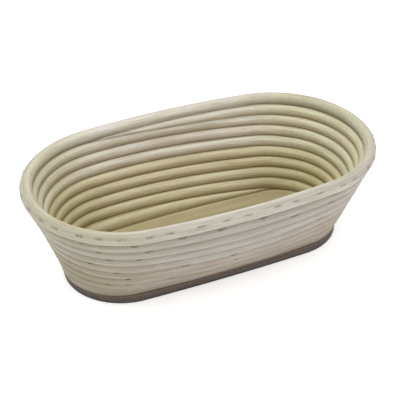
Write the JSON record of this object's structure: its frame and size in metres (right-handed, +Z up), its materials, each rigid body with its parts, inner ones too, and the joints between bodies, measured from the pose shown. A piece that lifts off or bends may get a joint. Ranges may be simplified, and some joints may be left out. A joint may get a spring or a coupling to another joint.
{
  "type": "oval banneton proofing basket",
  "caption": "Long oval dough-proofing basket: a flared wall of coiled round rattan cane with a thicker rim cane on a flat wooden base plate.",
  "frame": {"origin": "middle of the base plate's underside, which is the plane the basket stands on", "axes": "+X along the basket's length, +Y across its width towards the side where the coil climbs, +Z up"},
  "size_m": [0.2794, 0.1606, 0.0816],
  "materials": {
    "base_plate": "bare sanded wood, darker at the sawn edge",
    "wall_cane_lower": "bare rattan core, matt, honey beige",
    "wall_cane_upper": "bare rattan core, matt, grey beige",
    "rim_cane": "bare rattan core, matt, pale grey beige",
    "staple_wire": "dull oxidised steel wire",
    "nail_steel": "dull plain steel"
  },
  "bodies": {
    "root": {"base_plate": "base_plate", "wall_cane_lower": "wall_cane_lower", "wall_cane_upper": "wall_cane_upper", "rim_cane": "rim_cane", "rim_staple_01": "staple_wire", "rim_staple_02": "staple_wire", "rim_staple_03": "staple_wire", "rim_staple_04": "staple_wire", "rim_staple_05": "staple_wire", "rim_staple_06": "staple_wire", "rim_staple_07": "staple_wire", "rim_staple_08": "staple_wire", "rim_staple_09": "staple_wire", "rim_staple_10": "staple_wire", "rim_staple_11": "staple_wire", "rim_staple_12": "staple_wire", "rim_staple_13": "staple_wire", "rim_staple_14": "staple_wire", "rim_staple_15": "staple_wire", "rim_staple_16": "staple_wire", "rim_staple_17": "staple_wire", "rim_staple_18": "staple_wire", "rim_staple_19": "staple_wire", "rim_staple_20": "staple_wire", "rim_staple_21": "staple_wire", "rim_staple_22": "staple_wire", "rim_staple_23": "staple_wire", "rim_staple_24": "staple_wire", "rim_staple_25": "staple_wire", "rim_staple_26": "staple_wire", "rim_staple_27": "staple_wire", "rim_staple_28": "staple_wire", "rim_staple_29": "staple_wire", "rim_staple_30": "staple_wire", "rim_staple_31": "staple_wire", "rim_staple_32": "staple_wire", "rim_staple_33": "staple_wire", "rim_staple_34": "staple_wire", "rim_staple_35": "staple_wire", "rim_staple_36": "staple_wire", "rim_staple_37": "staple_wire", "rim_staple_38": "staple_wire", "rim_staple_39": "staple_wire", "plate_nail_01": "nail_steel", "plate_nail_02": "nail_steel", "plate_nail_03": "nail_steel", "plate_nail_04": "nail_steel", "plate_nail_05": "nail_steel", "plate_nail_06": "nail_steel", "plate_nail_07": "nail_steel", "plate_nail_08": "nail_steel", "plate_nail_09": "nail_steel", "plate_nail_10": "nail_steel", "plate_nail_11": "nail_steel", "plate_nail_12": "nail_steel"}
  },
  "joints": []
}
